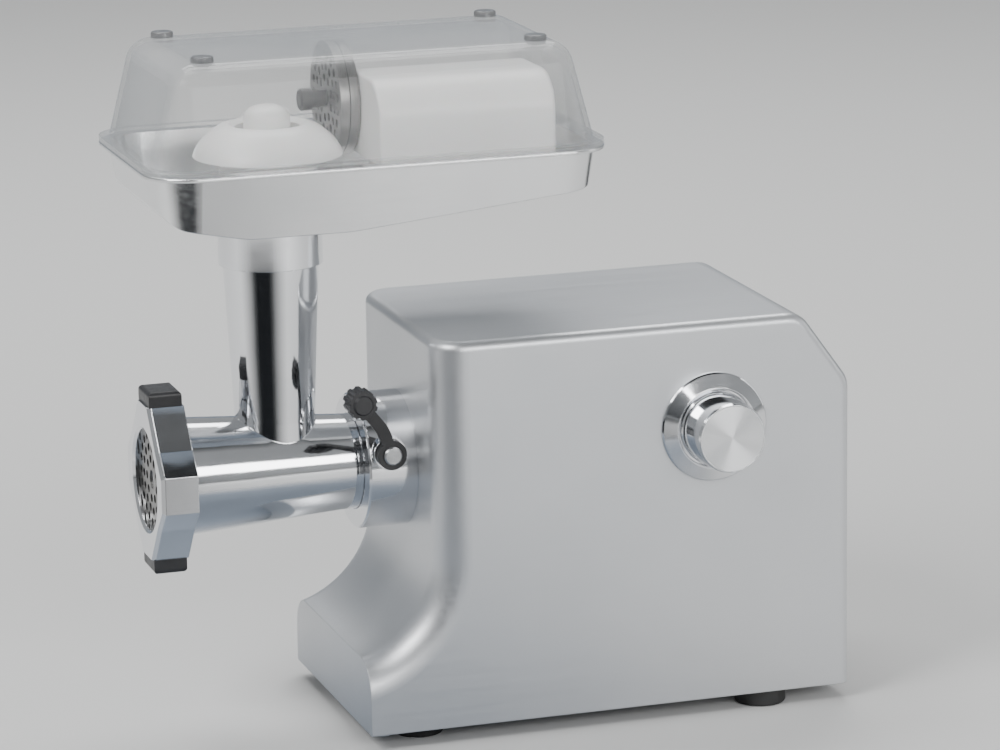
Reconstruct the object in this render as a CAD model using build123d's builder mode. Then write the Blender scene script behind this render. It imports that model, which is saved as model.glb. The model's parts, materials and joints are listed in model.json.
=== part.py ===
from build123d import *
from math import atan2, cos, degrees, pi, radians, sin, sqrt, tan
import os

# Bench-top electric meat grinder: a geared motor in a cast housing drives a worm in a barrel,
# with a hopper tray on the barrel's throat and a clear lid over the tray.
# Millimetres. +Z is up, X runs along the barrel with the cutting head towards -X, and the
# operator's side with the switch faces -Y. The origin is on the floor, under the middle of the base.

os.makedirs("parts", exist_ok=True)

# ---------------------------------------------------------------- driving dimensions

# housing
base_length = 274
base_width = 150
housing_top = 220
foot_height = 9
toe_length = 40
toe_top = 48
scoop_top = 102
shell_wall = 3
column_round = 18
edge_round = 5
slope_length = 28
slope_drop = 39
slope_round = 15
base_plate_thickness = 3

# feet and the screws of the base
foot_diameter = 28
foot_inset_front = 34
foot_inset_rear = 47
front_foot_spacing = 92
rear_foot_spacing = 120
screw_radius = 2
screw_head_radius = 4
screw_head_height = 2.2
boss_radius = 5.5
boss_height = 20

# rear panel with the vents, the cord inlet and the overload reset
panel_width = 112
panel_height = 132
panel_thickness = 2.5
panel_border = 8
panel_base = 24
vent_count = 9
vent_length = 62
vent_width = 4
vent_pitch = 9
inlet_height = 45
inlet_spacing = 50
cord_radius = 3.6
gland_radius = 8
gland_flange_radius = 11
gland_length = 12
breaker_radius = 9
breaker_length = 20
button_radius = 5
button_stroke = 2

# switch on the operator's side
switch_x = 58
switch_height = 162
bezel_radius = 30
bezel_thickness = 5
knob_base_radius = 20.5
knob_face_radius = 19
knob_reach = 29
knob_cap_thickness = 1
switch_shaft_radius = 3
switch_body_radius = 15
switch_body_depth = 26

# drive collar and its lock
barrel_height = 142
collar_length = 27
collar_wall = 11.5
spigot_length = 24
collar_spigot_radius = 30
collar_spigot_length = 6
collar_web = 8
lock_radius = 5
lock_boss_radius = 9
lock_rise = 12
lock_setback = 11
lever_thickness = 4
lever_run = 19
lever_rise = 32
lever_knob_radius = 8
lever_knob_length = 12

# grinding head
barrel_length = 110
barrel_wall = 3.45
bore_radius = 22
plate_radius = 31
nose_wall = 2.9
nose_relief = 1.9
nose_thread_length = 13
plate_thickness = 6
plate_proud = 1
plate_hole_radius = 2.3
blade_thickness = 6
blade_width = 11
blade_chamber_step = 2.5
blade_chamber_length = 8
nut_lip = 4
nut_lip_width = 3.5
nut_length = 20
nut_wall = 6.1
nut_ear_height = 10
nut_ear_width = 24
nut_cap_height = 8
nut_flat_height = 20
nut_facet_run = 11.5

# worm
worm_root_radius = 9
worm_pitch = 30
worm_turns = 3
flight_thickness = 5
journal_radius = 8.95
spindle_radius = 4.95
shank_across_flats = 11
shank_length = 15
washer_thickness = 1.5
barrel_web = 6

# throat
throat_setback = 42
throat_foot_room = 1
throat_foot_wall = 3.75
throat_flare = 2
throat_top_wall = 5.75
mouth_height = 26
mouth_seat_depth = 21
mouth_seat_wall = 4
mouth_tube_wall = 3

# hopper tray
rim_height = 318
tray_floor_height = 282
tray_overhang_front = 75
tray_overhang_rear = 166
tray_width = 140
tray_wall = 1.5
tray_flange = 5
tray_flange_thickness = 2
tray_corner = 22
tray_draft = 9
tray_front_depth = 27
tray_rear_depth = 22

# clear lid
lid_height = 55
lid_wall = 2.5
lid_draft = 14
lid_top_round = 14
bumper_radius = 6
bumper_height = 3
bumper_inset_x = 30
bumper_inset_y = 26

# food pusher
pusher_radius = 17
pusher_foot_height = 185
guard_radius = 40
guard_rim_height = 314
guard_top_height = 331
guard_thickness = 3
guard_recess_radius = 17.5
guard_recess_depth = 13
guard_hub_ledge = 5
grip_radius = 12.5
grip_top_height = 341

# accessories kept in the tray
case_width = 70
case_side = -38
case_bottom = 309
case_top = 354
case_round = 20
spare_plate_side_room = 11
spare_plate_top_room = 2.8
spare_plate_thickness = 5
spare_plate_gap = 0.6
holder_radius = 4.6
holder_reach = 8
holder_tip_radius = 6
holder_tip_length = 7

# gear train, from the motor to the output shaft
stage1_module = 1.0
stage1_teeth = (12, 54)
stage1_face = 8
stage2_module = 1.25
stage2_teeth = (12, 42)
stage2_face = 10
stage3_module = 1.5
stage3_teeth = (12, 42)
stage3_face = 14
gear_gap = 2
pressure_angle = 20
tooth_backlash = 0.2
motor_height = 75
output_radius = 10
layshaft_radius = 4.5
layshaft_journal_radius = 4
case_wall = 4
gear_room = 5
gear_side_room = 3

# motor
motor_shaft_radius = 4
fan_radius = 30
fan_blades = 9
fan_length = 10
armature_radius = 24.4
armature_length = 50
armature_slots = 12
stator_bore_radius = 25
stator_size = 80
coil_inner_radius = 26
coil_outer_radius = 36
coil_length = 12
commutator_radius = 11
commutator_length = 14
commutator_bars = 16
brush_width = 7
brush_length = 14
motor_bearing_radius = 9
motor_bolt_radius = 2
motor_bolt_spacing = 66
bracket_thickness = 4

# fits and gaps
running_clearance = 0.05
body_gap = 0.3
drop_in_clearance = 0.15
screw_clearance = 0.2

# ---------------------------------------------------------------- places that follow

base_front = -base_length / 2
base_rear = base_length / 2
side_face = base_width / 2
column_front = base_front + toe_length
inner_floor = foot_height + base_plate_thickness

spigot_radius = bore_radius + barrel_wall
barrel_tail_radius = spigot_radius + 0.5
nose_thread_radius = plate_radius + nose_wall
barrel_nose_radius = nose_thread_radius - nose_relief
blade_chamber_radius = plate_radius - blade_chamber_step
nut_opening_radius = plate_radius - nut_lip_width
nut_waist_radius = nose_thread_radius + nut_wall
nut_ear_radius = nut_waist_radius + nut_ear_height

throat_bore_foot = pusher_radius + throat_foot_room
throat_bore_top = throat_bore_foot + throat_flare
throat_foot_radius = throat_bore_foot + throat_foot_wall
throat_top_radius = throat_bore_top + throat_top_wall
tray_hole_radius = throat_bore_top + 1
mouth_seat_radius = tray_hole_radius + mouth_tube_wall
mouth_radius = mouth_seat_radius + mouth_seat_wall
guard_hub_radius = tray_hole_radius + guard_hub_ledge

collar_front = column_front - collar_length
collar_bore_radius = spigot_radius + running_clearance
collar_radius = collar_bore_radius + collar_wall
collar_back = column_front + collar_spigot_length
collar_web_front = collar_back - collar_web
spigot_back = collar_front + spigot_length

nose_front = collar_front - barrel_length
plate_front = nose_front - plate_proud
plate_back = plate_front + plate_thickness
nut_front = plate_front - nut_lip
blade_front = plate_back + body_gap
blade_back = blade_front + blade_thickness
worm_front = blade_back
barrel_web_front = spigot_back - barrel_web
washer_back = barrel_web_front - body_gap
washer_front = washer_back - washer_thickness
flight_length = worm_pitch * worm_turns
shank_front = spigot_back + 1
shank_back = shank_front + shank_length

throat_x = collar_front - throat_setback
mouth_top = tray_floor_height - body_gap
tray_front = throat_x - tray_overhang_front
tray_rear = throat_x + tray_overhang_rear
tray_middle = (tray_front + tray_rear) / 2
tray_length = tray_rear - tray_front
lid_base = rim_height + body_gap
lid_top = lid_base + lid_height
spare_plate_y = tray_width / 2 - spare_plate_side_room - plate_radius
spare_plate_height = lid_top - lid_wall - spare_plate_top_room - plate_radius

lock_x = collar_front + lock_setback
lock_z = barrel_height + lock_rise
lock_face = -collar_radius - 2
spare_plate_front = throat_x + guard_radius + body_gap
holder_front = spare_plate_front - holder_reach
case_front = spare_plate_front + 2 * spare_plate_thickness + 2 * spare_plate_gap
case_rear = tray_rear - lid_draft - lid_wall

barrel_axis = Axis((0, 0, barrel_height), (1, 0, 0))
throat_axis = Axis((throat_x, 0, 0), (0, 0, 1))

stage1_distance = stage1_module * sum(stage1_teeth) / 2
stage2_distance = stage2_module * sum(stage2_teeth) / 2
stage3_distance = stage3_module * sum(stage3_teeth) / 2
output_centre = (0, barrel_height)
shaft2_centre = (0, barrel_height - stage3_distance)
motor_centre = (0, motor_height)


def third_corner(low, high, to_low, to_high):
    """The point at the +Y side that is to_low from low and to_high from high, which share a Y."""
    span = high[1] - low[1]
    along = (to_low**2 - to_high**2 + span**2) / (2 * span)
    return (low[0] + sqrt(to_low**2 - along**2), low[1] + along)


shaft1_centre = third_corner(motor_centre, shaft2_centre, stage1_distance, stage2_distance)

gearbox_front = collar_back
stage3_front = gearbox_front + case_wall + gear_gap
stage2_front = stage3_front + stage3_face + gear_gap
stage1_front = stage2_front + stage2_face + gear_gap
gearbox_back = stage1_front + stage1_face + gear_room
cover_back = gearbox_back + case_wall

fan_front = cover_back + gear_gap
stator_front = fan_front + fan_length + coil_length + gear_gap
stator_back = stator_front + armature_length
commutator_front = stator_back + coil_length + gear_gap / 2
commutator_back = commutator_front + commutator_length
bracket_front = commutator_back + gear_gap
bracket_back = bracket_front + bracket_thickness
motor_shaft_back = bracket_back + gear_gap

# ---------------------------------------------------------------- shared outlines


def finish(part, name):
    """Labels a finished piece and writes it."""
    part.label = name
    export_step(part, f"parts/{name}.step")


def across(x):
    """The plane square to the barrel at x, with Y to its right and Z up."""
    return Plane.YZ.offset(x)


def turned_x(corners, centre=(0, 0)):
    """Half section of a part turned about an X axis through centre (y, z): (x, radius) corners."""
    with BuildSketch(Plane.XZ.offset(-centre[0])) as section:
        with Locations((0, centre[1])):
            Polygon(*corners, align=None)
    return section.sketch


def turned_z(corners, x):
    """Half section of a part turned about the upright axis at x: (radius, z) corners."""
    with BuildSketch(Plane.XZ) as section:
        with Locations((x, 0)):
            Polygon(*corners, align=None)
    return section.sketch


def axis_x(centre):
    """The X axis through centre (y, z)."""
    return Axis((0, centre[0], centre[1]), (1, 0, 0))


def bearing(centre, inner, front, back, outer):
    """Half section of a plain bearing ring."""
    return turned_x([(front, inner), (back, inner), (back, outer), (front, outer)], centre)


def disc(centre, radius):
    """A round sketch at centre, on the plane in use."""
    with Locations(centre):
        Circle(radius)


def tooth_corners(teeth, module, phase):
    """The corners of a spur gear with straight-sided involute teeth, one tooth centred on phase."""
    pitch_radius = module * teeth / 2
    base_radius = pitch_radius * cos(radians(pressure_angle))
    radii = [pitch_radius - module, max(base_radius, pitch_radius - 0.6 * module),
             pitch_radius, pitch_radius + 0.4 * module, pitch_radius + 0.75 * module]
    pitch_half = (pi * module / 2 - tooth_backlash) / 2 / pitch_radius
    pressure = radians(pressure_angle)

    def half_angle(radius):
        """Half of the tooth's angle at a radius."""
        if radius <= base_radius:
            radius = base_radius
        slope = sqrt(max((radius / base_radius) ** 2 - 1, 0))
        return pitch_half + (tan(pressure) - pressure) - (slope - atan2(slope, 1))

    corners = []
    for tooth in range(teeth):
        middle = radians(phase) + 2 * pi * tooth / teeth
        for side, order in ((-1, radii), (1, radii[::-1])):
            for radius in order:
                angle = middle + side * half_angle(radius)
                corners.append((radius * cos(angle), radius * sin(angle)))
    return corners


def gear(teeth, module, phase, centre, front):
    """A spur gear's face at x = front."""
    with BuildSketch(across(front)) as face:
        with Locations(centre):
            Polygon(*tooth_corners(teeth, module, phase), align=None)
    return face.sketch


def cross_recess():
    """The cross that a screwdriver fits, on the sketch and at the place in use."""
    Rectangle(screw_head_radius * 1.2, 0.9)
    Rectangle(0.9, screw_head_radius * 1.2)


def bearing_angle(start, end):
    """The direction from start to end, in degrees from +Y towards +Z."""
    return degrees(atan2(end[1] - start[1], end[0] - start[0]))


def gap_phase(teeth, towards):
    """A phase that puts the gap between two teeth in the direction towards."""
    return towards + 180 / teeth


# ---------------------------------------------------------------- housing


def housing_side(inset):
    """Side outline of the housing, inset from its outer skin."""
    with BuildSketch(Plane.XZ) as side:
        with BuildLine():
            TangentArc((column_front, scoop_top), (base_front, toe_top), tangent=(0, -1))
            Polyline(
                (base_front, toe_top),
                (base_front, foot_height),
                (base_rear, foot_height),
                (base_rear, housing_top - slope_drop),
                (base_rear - slope_length, housing_top),
                (column_front, housing_top),
                (column_front, scoop_top),
            )
        make_face()
        fillet(side.vertices().group_by(Axis.X)[-2:][0].sort_by(Axis.Y)[-1], slope_round)
        fillet(side.vertices().group_by(Axis.X)[-1].sort_by(Axis.Y)[-1], slope_round)
        if inset:
            offset(amount=-inset, kind=Kind.INTERSECTION, mode=Mode.REPLACE)
    return side.sketch


def column_corners(block, width):
    """The upright front corners of the column and the scoop's edges that run on from them."""
    x_at = column_front + (side_face - width / 2)
    upright = block.edges().filter_by(Axis.Z).filter_by_position(Axis.X, x_at - 1, x_at + 1)
    scoop = block.edges().filter_by(GeomType.CIRCLE).filter_by_position(Axis.X, base_front, x_at)
    return upright + scoop




with BuildPart() as housing_void:
    extrude(housing_side(shell_wall), amount=side_face - shell_wall, both=True)
    fillet(column_corners(housing_void, base_width - 2 * shell_wall), column_round - shell_wall)
    with BuildSketch(Plane.XY.offset(foot_height)):
        Rectangle(base_length - 2 * shell_wall, base_width - 2 * shell_wall)
    extrude(amount=2 * shell_wall)

boss_spots = GridLocations(
    base_length - 2 * (shell_wall + boss_radius), base_width - 2 * (shell_wall + boss_radius), 2, 2
)
panel_middle = panel_base + panel_height / 2
panel_front = base_rear - shell_wall - panel_thickness
front_foot_x = base_front + foot_inset_front
rear_foot_x = base_rear - foot_inset_rear
foot_spots = [
    (front_foot_x, -front_foot_spacing / 2),
    (front_foot_x, front_foot_spacing / 2),
    (rear_foot_x, -rear_foot_spacing / 2),
    (rear_foot_x, rear_foot_spacing / 2),
]


def panel_screw_spots():
    """The four corner screws of the rear panel, about the place in use."""
    return GridLocations(panel_width - panel_border, panel_height - panel_border, 2, 2)


with BuildPart() as housing_shell:
    extrude(housing_side(0), amount=side_face, both=True)
    fillet(column_corners(housing_shell, base_width), column_round)
    top_edges = housing_shell.faces().sort_by(Axis.Z)[-1].edges()
    fillet(top_edges.sort_by(Axis.X)[:-1], edge_round)
    add(housing_void.part, mode=Mode.SUBTRACT)
    # hole for the drive collar's spigot
    with BuildSketch(across(column_front - shell_wall)):
        disc(output_centre, collar_spigot_radius + running_clearance)
    extrude(amount=3 * shell_wall, mode=Mode.SUBTRACT)
    # hole for the switch shaft
    with BuildSketch(Plane.XZ.offset(side_face - 2 * shell_wall)):
        disc((switch_x, switch_height), switch_shaft_radius + 1)
    extrude(amount=3 * shell_wall, mode=Mode.SUBTRACT)
    # opening for the rear panel, and its screw holes
    with BuildSketch(across(base_rear - 2 * shell_wall)):
        with Locations((0, panel_middle)):
            RectangleRounded(panel_width - 2 * panel_border, panel_height - 2 * panel_border, 6)
    extrude(amount=3 * shell_wall, mode=Mode.SUBTRACT)
    with BuildSketch(across(base_rear - 2 * shell_wall)):
        with Locations((0, panel_middle)):
            with panel_screw_spots():
                Circle(screw_radius + screw_clearance)
    extrude(amount=3 * shell_wall, mode=Mode.SUBTRACT)
    # corner bosses that take the base screws
    with BuildSketch(Plane.XY.offset(inner_floor)):
        with boss_spots:
            Circle(boss_radius + 0.5)
            Circle(screw_radius + screw_clearance, mode=Mode.SUBTRACT)
    extrude(amount=boss_height)
finish(housing_shell.part, "housing_shell")

with BuildPart() as base_plate:
    with BuildSketch(Plane.XY.offset(foot_height)):
        Rectangle(
            base_length - 2 * (shell_wall + drop_in_clearance),
            base_width - 2 * (shell_wall + drop_in_clearance),
        )
        with boss_spots:
            Circle(screw_radius + screw_clearance, mode=Mode.SUBTRACT)
        with Locations(*foot_spots):
            Circle(screw_radius + screw_clearance, mode=Mode.SUBTRACT)
    extrude(amount=base_plate_thickness)
finish(base_plate.part, "base_plate")

foot_recess_height = 4
with BuildPart() as rubber_feet:
    with BuildSketch():
        with Locations(*foot_spots):
            Circle(foot_diameter / 2)
    extrude(amount=foot_height)
    fillet(rubber_feet.edges().group_by(Axis.Z)[0], 1.5)
    with BuildSketch():
        with Locations(*foot_spots):
            Circle(screw_head_radius + 1)
    extrude(amount=foot_recess_height, mode=Mode.SUBTRACT)
    with BuildSketch():
        with Locations(*foot_spots):
            Circle(screw_radius + screw_clearance)
    extrude(amount=foot_height, mode=Mode.SUBTRACT)
finish(rubber_feet.part, "rubber_feet")

with BuildPart() as foot_screws:
    with BuildSketch(Plane.XY.offset(foot_recess_height - screw_head_height)):
        with Locations(*foot_spots):
            Circle(screw_head_radius)
    extrude(amount=screw_head_height)
    with BuildSketch(Plane.XY.offset(foot_recess_height)):
        with Locations(*foot_spots):
            Circle(screw_radius)
    extrude(amount=foot_height + base_plate_thickness)
    with BuildSketch(Plane.XY.offset(foot_recess_height - screw_head_height)):
        with Locations(*foot_spots):
            cross_recess()
    extrude(amount=1, mode=Mode.SUBTRACT)
finish(foot_screws.part, "foot_screws")

with BuildPart() as base_screws:
    with BuildSketch(Plane.XY.offset(foot_height - screw_head_height)):
        with boss_spots:
            Circle(screw_head_radius)
    extrude(amount=screw_head_height)
    with BuildSketch(Plane.XY.offset(foot_height)):
        with boss_spots:
            Circle(screw_radius)
    extrude(amount=base_plate_thickness + boss_height / 2)
    with BuildSketch(Plane.XY.offset(foot_height - screw_head_height)):
        with boss_spots:
            cross_recess()
    extrude(amount=1, mode=Mode.SUBTRACT)
finish(base_screws.part, "base_screws")

# ---------------------------------------------------------------- rear panel

gland_centre = (inlet_spacing / 2, inlet_height)
button_centre = (-inlet_spacing / 2, inlet_height)
vent_middle = panel_base + panel_height - panel_border * 2 - vent_count * vent_pitch / 2

with BuildPart() as rear_panel:
    with BuildSketch(across(panel_front)):
        with Locations((0, panel_middle)):
            Rectangle(panel_width, panel_height)
            with panel_screw_spots():
                Circle(screw_radius + screw_clearance, mode=Mode.SUBTRACT)
        with Locations((0, vent_middle)):
            with GridLocations(0, vent_pitch, 1, vent_count):
                SlotOverall(vent_length, vent_width, mode=Mode.SUBTRACT)
        with Locations(gland_centre):
            Circle(gland_radius, mode=Mode.SUBTRACT)
        with Locations(button_centre):
            Circle(button_radius + running_clearance, mode=Mode.SUBTRACT)
    extrude(amount=panel_thickness)
finish(rear_panel.part, "rear_panel")

with BuildPart() as panel_screws:
    with BuildSketch(across(base_rear)):
        with Locations((0, panel_middle)):
            with panel_screw_spots():
                Circle(screw_head_radius)
    extrude(amount=screw_head_height)
    with BuildSketch(across(base_rear)):
        with Locations((0, panel_middle)):
            with panel_screw_spots():
                Circle(screw_radius)
    extrude(amount=-(shell_wall + panel_thickness + 3))
    with BuildSketch(across(base_rear + screw_head_height)):
        with Locations((0, panel_middle)):
            with panel_screw_spots():
                cross_recess()
    extrude(amount=-1, mode=Mode.SUBTRACT)
finish(panel_screws.part, "panel_screws")

gland_front = panel_front - 3
with BuildPart() as cord_gland:
    revolve(
        turned_x(
            [
                (gland_front, cord_radius),
                (gland_front + gland_length, cord_radius),
                (gland_front + gland_length, gland_radius - 1),
                (panel_front + panel_thickness + 3, gland_flange_radius),
                (panel_front + panel_thickness, gland_flange_radius),
                (panel_front + panel_thickness, gland_radius),
                (panel_front, gland_radius),
                (panel_front, gland_flange_radius - 1),
                (gland_front, gland_radius),
            ],
            gland_centre,
        ),
        axis=axis_x(gland_centre),
    )
finish(cord_gland.part, "cord_gland")

button_length = panel_thickness + shell_wall + 4
button_back = panel_front + button_length
breaker_back = panel_front - button_stroke - 1
with BuildPart() as overload_breaker:
    with BuildSketch(across(breaker_back - breaker_length)):
        disc(button_centre, breaker_radius)
    extrude(amount=breaker_length)
    with BuildSketch(across(breaker_back - breaker_length)):
        with Locations(button_centre):
            with GridLocations(0, breaker_radius, 1, 2):
                Rectangle(5, 0.8)
    extrude(amount=-8)
finish(overload_breaker.part, "overload_breaker")

with BuildPart() as reset_button:
    with BuildSketch(across(button_back - button_length + 0.4)):
        disc(button_centre, button_radius)
    extrude(amount=button_length - 0.4)
    chamfer(reset_button.edges().group_by(Axis.X)[-1], 0.8)
finish(reset_button.part, "reset_button")

# ---------------------------------------------------------------- switch


def turned_switch(corners):
    """Half section of a part turned about the switch's axis: (radius, reach out of the panel)."""
    with BuildSketch(Plane.XY.offset(switch_height)) as section:
        with Locations((switch_x, -side_face)):
            Polygon(*[(radius, -reach) for radius, reach in corners], align=None)
    return section.sketch


switch_axis = Axis((switch_x, 0, switch_height), (0, -1, 0))
knob_back = 1.2
knob_cap_radius = knob_face_radius - 1.4
# the knob turns in a well in the coned bezel
bezel_well_radius = knob_base_radius + 1

with BuildPart() as knob_bezel:
    revolve(
        turned_switch(
            [
                (switch_shaft_radius + 1, 0),
                (bezel_radius, 0),
                (bezel_radius, bezel_thickness * 0.2),
                (bezel_radius - 0.8, bezel_thickness * 0.36),
                (bezel_well_radius + 0.8, bezel_thickness),
                (bezel_well_radius, bezel_thickness - 0.3),
                (bezel_well_radius, 1),
                (switch_shaft_radius + 1, 1),
            ]
        ),
        axis=switch_axis,
    )
finish(knob_bezel.part, "knob_bezel")

with BuildPart() as rotary_switch:
    revolve(
        turned_switch(
            [
                (0, -shell_wall - switch_body_depth),
                (switch_body_radius, -shell_wall - switch_body_depth),
                (switch_body_radius, -shell_wall),
                (switch_shaft_radius + running_clearance, -shell_wall),
                (switch_shaft_radius + running_clearance, -shell_wall - 12),
                (0, -shell_wall - 12),
            ]
        ),
        axis=switch_axis,
    )
    with BuildSketch(Plane.XZ.offset(side_face - shell_wall - switch_body_depth)):
        with Locations((switch_x, switch_height)):
            with PolarLocations(switch_body_radius - 4, 4):
                Rectangle(0.8, 5)
    extrude(amount=-8)
finish(rotary_switch.part, "rotary_switch")

with BuildPart() as switch_shaft:
    revolve(
        turned_switch(
            [
                (0, -shell_wall - 11.5),
                (switch_shaft_radius, -shell_wall - 11.5),
                (switch_shaft_radius, knob_reach - 6),
                (0, knob_reach - 6),
            ]
        ),
        axis=switch_axis,
    )
finish(switch_shaft.part, "switch_shaft")

with BuildPart() as switch_knob:
    revolve(
        turned_switch(
            [
                (switch_shaft_radius, knob_back),
                (knob_base_radius, knob_back),
                (knob_base_radius, knob_back + 4),
                (knob_base_radius - 0.7, knob_back + 5),
                (knob_face_radius, knob_reach - 1.5),
                (knob_face_radius - 0.8, knob_reach),
                (knob_cap_radius, knob_reach),
                (knob_cap_radius, knob_reach - knob_cap_thickness),
                (0, knob_reach - knob_cap_thickness),
                (0, knob_reach - 6),
                (switch_shaft_radius, knob_reach - 6),
            ]
        ),
        axis=switch_axis,
    )
finish(switch_knob.part, "switch_knob")

with BuildPart() as knob_cap:
    with BuildSketch(Plane.XZ.offset(side_face + knob_reach - knob_cap_thickness)):
        disc((switch_x, switch_height), knob_cap_radius)
    extrude(amount=knob_cap_thickness)
finish(knob_cap.part, "knob_cap")

# ---------------------------------------------------------------- drive collar and lock

seal_radius = output_radius + 6
with BuildPart() as drive_collar:
    revolve(
        turned_x(
            [
                (collar_front, collar_bore_radius + 1),
                (collar_front, collar_radius - 1),
                (collar_front + 1, collar_radius),
                (column_front, collar_radius),
                (column_front, collar_spigot_radius),
                (collar_back, collar_spigot_radius),
                (collar_back, seal_radius),
                (collar_web_front, seal_radius),
                (collar_web_front, collar_bore_radius),
                (collar_front + 1, collar_bore_radius),
            ],
            output_centre,
        ),
        axis=barrel_axis,
    )
    with BuildSketch(Plane.XZ.offset(spigot_radius + 3)):
        disc((lock_x, lock_z), lock_boss_radius)
    extrude(amount=-lock_face - spigot_radius - 3)
    with BuildSketch(Plane.XZ.offset(spigot_radius / 2)):
        disc((lock_x, lock_z), lock_radius + running_clearance)
    extrude(amount=-lock_face, mode=Mode.SUBTRACT)
finish(drive_collar.part, "drive_collar")

lock_lowest = lock_rise - lock_radius
lock_tip = -sqrt(spigot_radius**2 - lock_lowest**2) - body_gap
lever_back = lock_face - body_gap
lever_face = lever_back - lever_thickness
with BuildPart() as lock_screw:
    with BuildSketch(Plane.XZ.offset(-lock_tip)):
        disc((lock_x, lock_z), lock_radius)
    extrude(amount=lock_tip - lever_face + 2)
    chamfer(lock_screw.edges().group_by(Axis.Y)[0], 0.8)
finish(lock_screw.part, "lock_screw")

lever_knob_x = lock_x - lever_run
lever_knob_z = lock_z + lever_rise
with BuildPart() as lock_lever:
    with BuildSketch(Plane.XZ.offset(-lever_back)):
        with BuildLine():
            FilletPolyline(
                (lock_x, lock_z),
                (lock_x - lever_run * 0.25, lock_z + lever_rise * 0.45),
                (lever_knob_x, lever_knob_z),
                radius=20,
            )
        trace(line_width=6.5)
        disc((lock_x, lock_z), lock_radius + 3)
        disc((lever_knob_x, lever_knob_z), 5)
        with Locations((lock_x, lock_z)):
            Circle(lock_radius, mode=Mode.SUBTRACT)
    extrude(amount=lever_thickness)
finish(lock_lever.part, "lock_lever")

flute_count = 10
with BuildPart() as lock_lever_knob:
    with BuildSketch(Plane.XZ.offset(-lever_face)):
        with Locations((lever_knob_x, lever_knob_z)):
            Circle(lever_knob_radius)
            with PolarLocations(lever_knob_radius + 0.6, flute_count):
                Circle(1.6, mode=Mode.SUBTRACT)
    extrude(amount=lever_knob_length)
    with BuildSketch(Plane.XZ.offset(-lever_face + lever_knob_length)):
        disc((lever_knob_x, lever_knob_z), lever_knob_radius - 2.5)
    extrude(amount=1.5, taper=30)
finish(lock_lever_knob.part, "lock_lever_knob")

# ---------------------------------------------------------------- gearbox

gearbox_low = motor_height - stage1_module * stage1_teeth[0] - 16
gearbox_high = barrel_height + stage3_module * stage3_teeth[1] / 2 + gear_side_room + case_wall + 2
gearbox_left = -(stage3_module * stage3_teeth[1] / 2 + gear_side_room + case_wall)
gearbox_right = (
    shaft1_centre[0] + stage1_module * stage1_teeth[1] / 2 + gear_side_room + case_wall
)
gearbox_middle = ((gearbox_left + gearbox_right) / 2, (gearbox_low + gearbox_high) / 2)
gearbox_width = gearbox_right - gearbox_left
gearbox_height = gearbox_high - gearbox_low
shaft_centres = (shaft2_centre, shaft1_centre)
leg_width = 24
# the screw ears stand just outside the case and start behind the column's round corners
gearbox_ear_radius = 4.9
gearbox_ear_offset = 2.2
gearbox_ear_front = column_front + column_round + 1


def gearbox_screw_spots():
    """The six screws down the two sides of the gearbox, about the place in use."""
    return GridLocations(gearbox_width + 2 * gearbox_ear_offset, gearbox_height / 2 - 12, 2, 3)


with BuildPart() as gearbox_case:
    with BuildSketch(across(gearbox_front)):
        with Locations(gearbox_middle):
            RectangleRounded(gearbox_width, gearbox_height, 10)
    extrude(amount=gearbox_back - gearbox_front)
    with BuildSketch(across(gearbox_ear_front)):
        with Locations(gearbox_middle):
            with gearbox_screw_spots():
                Circle(gearbox_ear_radius)
    extrude(amount=gearbox_back - gearbox_ear_front)
    with BuildSketch(across(gearbox_front)):
        with Locations((gearbox_left + leg_width / 2, (gearbox_low + inner_floor) / 2 + 5)):
            Rectangle(leg_width, gearbox_low - inner_floor + 10)
        with Locations((gearbox_right - leg_width / 2, (gearbox_low + inner_floor) / 2 + 5)):
            Rectangle(leg_width, gearbox_low - inner_floor + 10)
    extrude(amount=gearbox_back - gearbox_front)
    with BuildSketch(across(gearbox_front + case_wall)):
        with Locations(gearbox_middle):
            RectangleRounded(gearbox_width - 2 * case_wall, gearbox_height - 2 * case_wall, 6)
    extrude(amount=gearbox_back - gearbox_front, mode=Mode.SUBTRACT)
    with BuildSketch(across(gearbox_front)):
        disc(output_centre, seal_radius)
        with Locations(gearbox_middle):
            with gearbox_screw_spots():
                Circle(screw_radius + screw_clearance)
        with Locations(*shaft_centres):
            Circle(layshaft_journal_radius + running_clearance)
    extrude(amount=gearbox_back - gearbox_front, mode=Mode.SUBTRACT)
finish(gearbox_case.part, "gearbox_case")

with BuildPart() as gearbox_cover:
    with BuildSketch(across(gearbox_back)):
        with Locations(gearbox_middle):
            RectangleRounded(gearbox_width, gearbox_height, 10)
            with gearbox_screw_spots():
                Circle(gearbox_ear_radius)
                Circle(screw_radius + screw_clearance, mode=Mode.SUBTRACT)
        with Locations(output_centre):
            Circle(output_radius - 2 + running_clearance, mode=Mode.SUBTRACT)
        with Locations(*shaft_centres):
            Circle(layshaft_journal_radius + running_clearance, mode=Mode.SUBTRACT)
        with Locations(motor_centre):
            Circle(motor_bearing_radius, mode=Mode.SUBTRACT)
            with GridLocations(motor_bolt_spacing, motor_bolt_spacing, 2, 2):
                Circle(motor_bolt_radius + screw_clearance, mode=Mode.SUBTRACT)
    extrude(amount=case_wall)
finish(gearbox_cover.part, "gearbox_cover")

with BuildPart() as gearbox_screws:
    with BuildSketch(across(cover_back)):
        with Locations(gearbox_middle):
            with gearbox_screw_spots():
                Circle(screw_head_radius)
    extrude(amount=screw_head_height)
    with BuildSketch(across(cover_back)):
        with Locations(gearbox_middle):
            with gearbox_screw_spots():
                Circle(screw_radius)
    extrude(amount=-(cover_back - gearbox_ear_front))
finish(gearbox_screws.part, "gearbox_screws")

with BuildPart() as shaft_seal:
    revolve(
        bearing(
            output_centre,
            output_radius + running_clearance,
            collar_web_front,
            collar_back - 1,
            seal_radius,
        ),
        axis=barrel_axis,
    )
finish(shaft_seal.part, "shaft_seal")

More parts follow.
